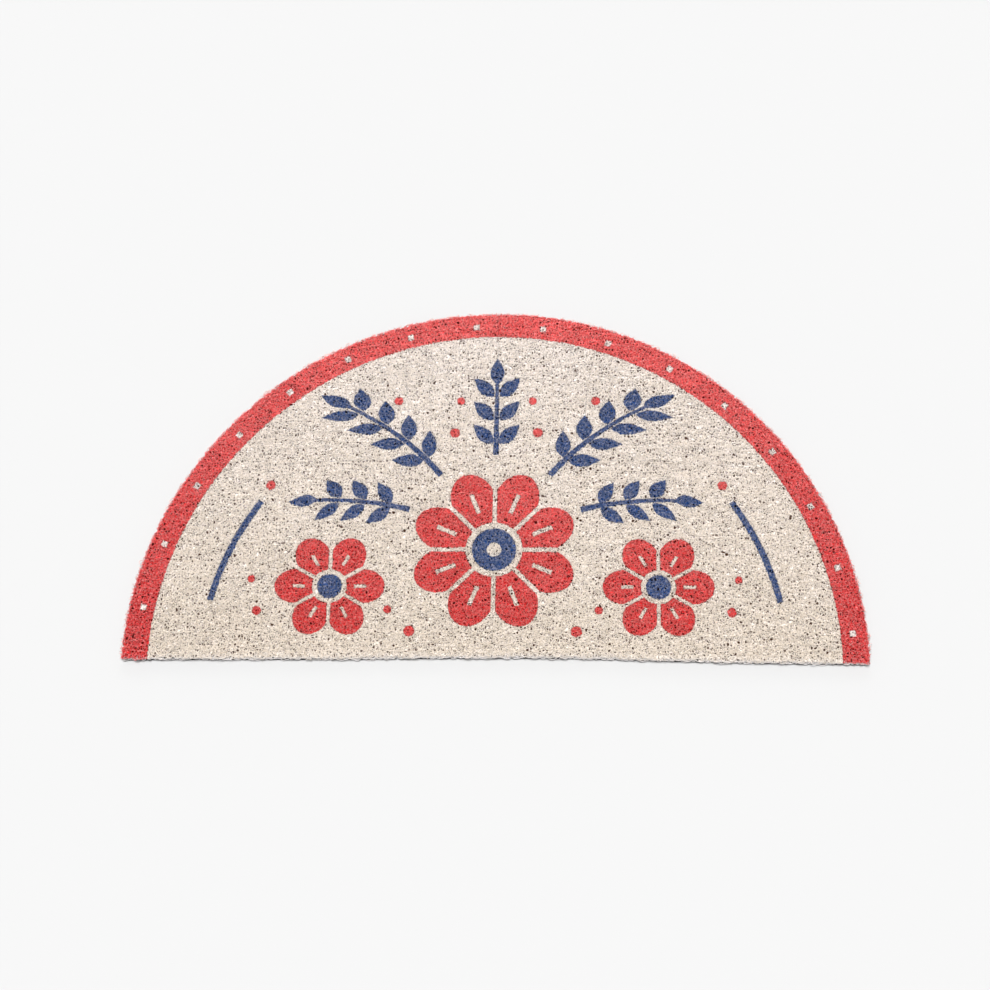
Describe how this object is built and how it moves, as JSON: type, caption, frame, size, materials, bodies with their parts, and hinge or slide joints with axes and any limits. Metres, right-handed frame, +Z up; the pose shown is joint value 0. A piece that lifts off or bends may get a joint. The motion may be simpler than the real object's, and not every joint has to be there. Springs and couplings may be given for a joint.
{
  "type": "doormat",
  "caption": "Half-round looped-vinyl doormat with a straight front edge and a flat underside, to lie on a floor before a door.",
  "frame": {"origin": "on the underside, below the middle of the plan's box", "axes": "+X along the straight edge, +Y from the straight edge towards the round edge, +Z up through the thickness"},
  "size_m": [0.8, 0.406, 0.01],
  "materials": {
    "looped_vinyl": "off-white looped vinyl with a printed red border, satin"
  },
  "bodies": {
    "root": {"mat": "looped_vinyl"}
  },
  "joints": []
}
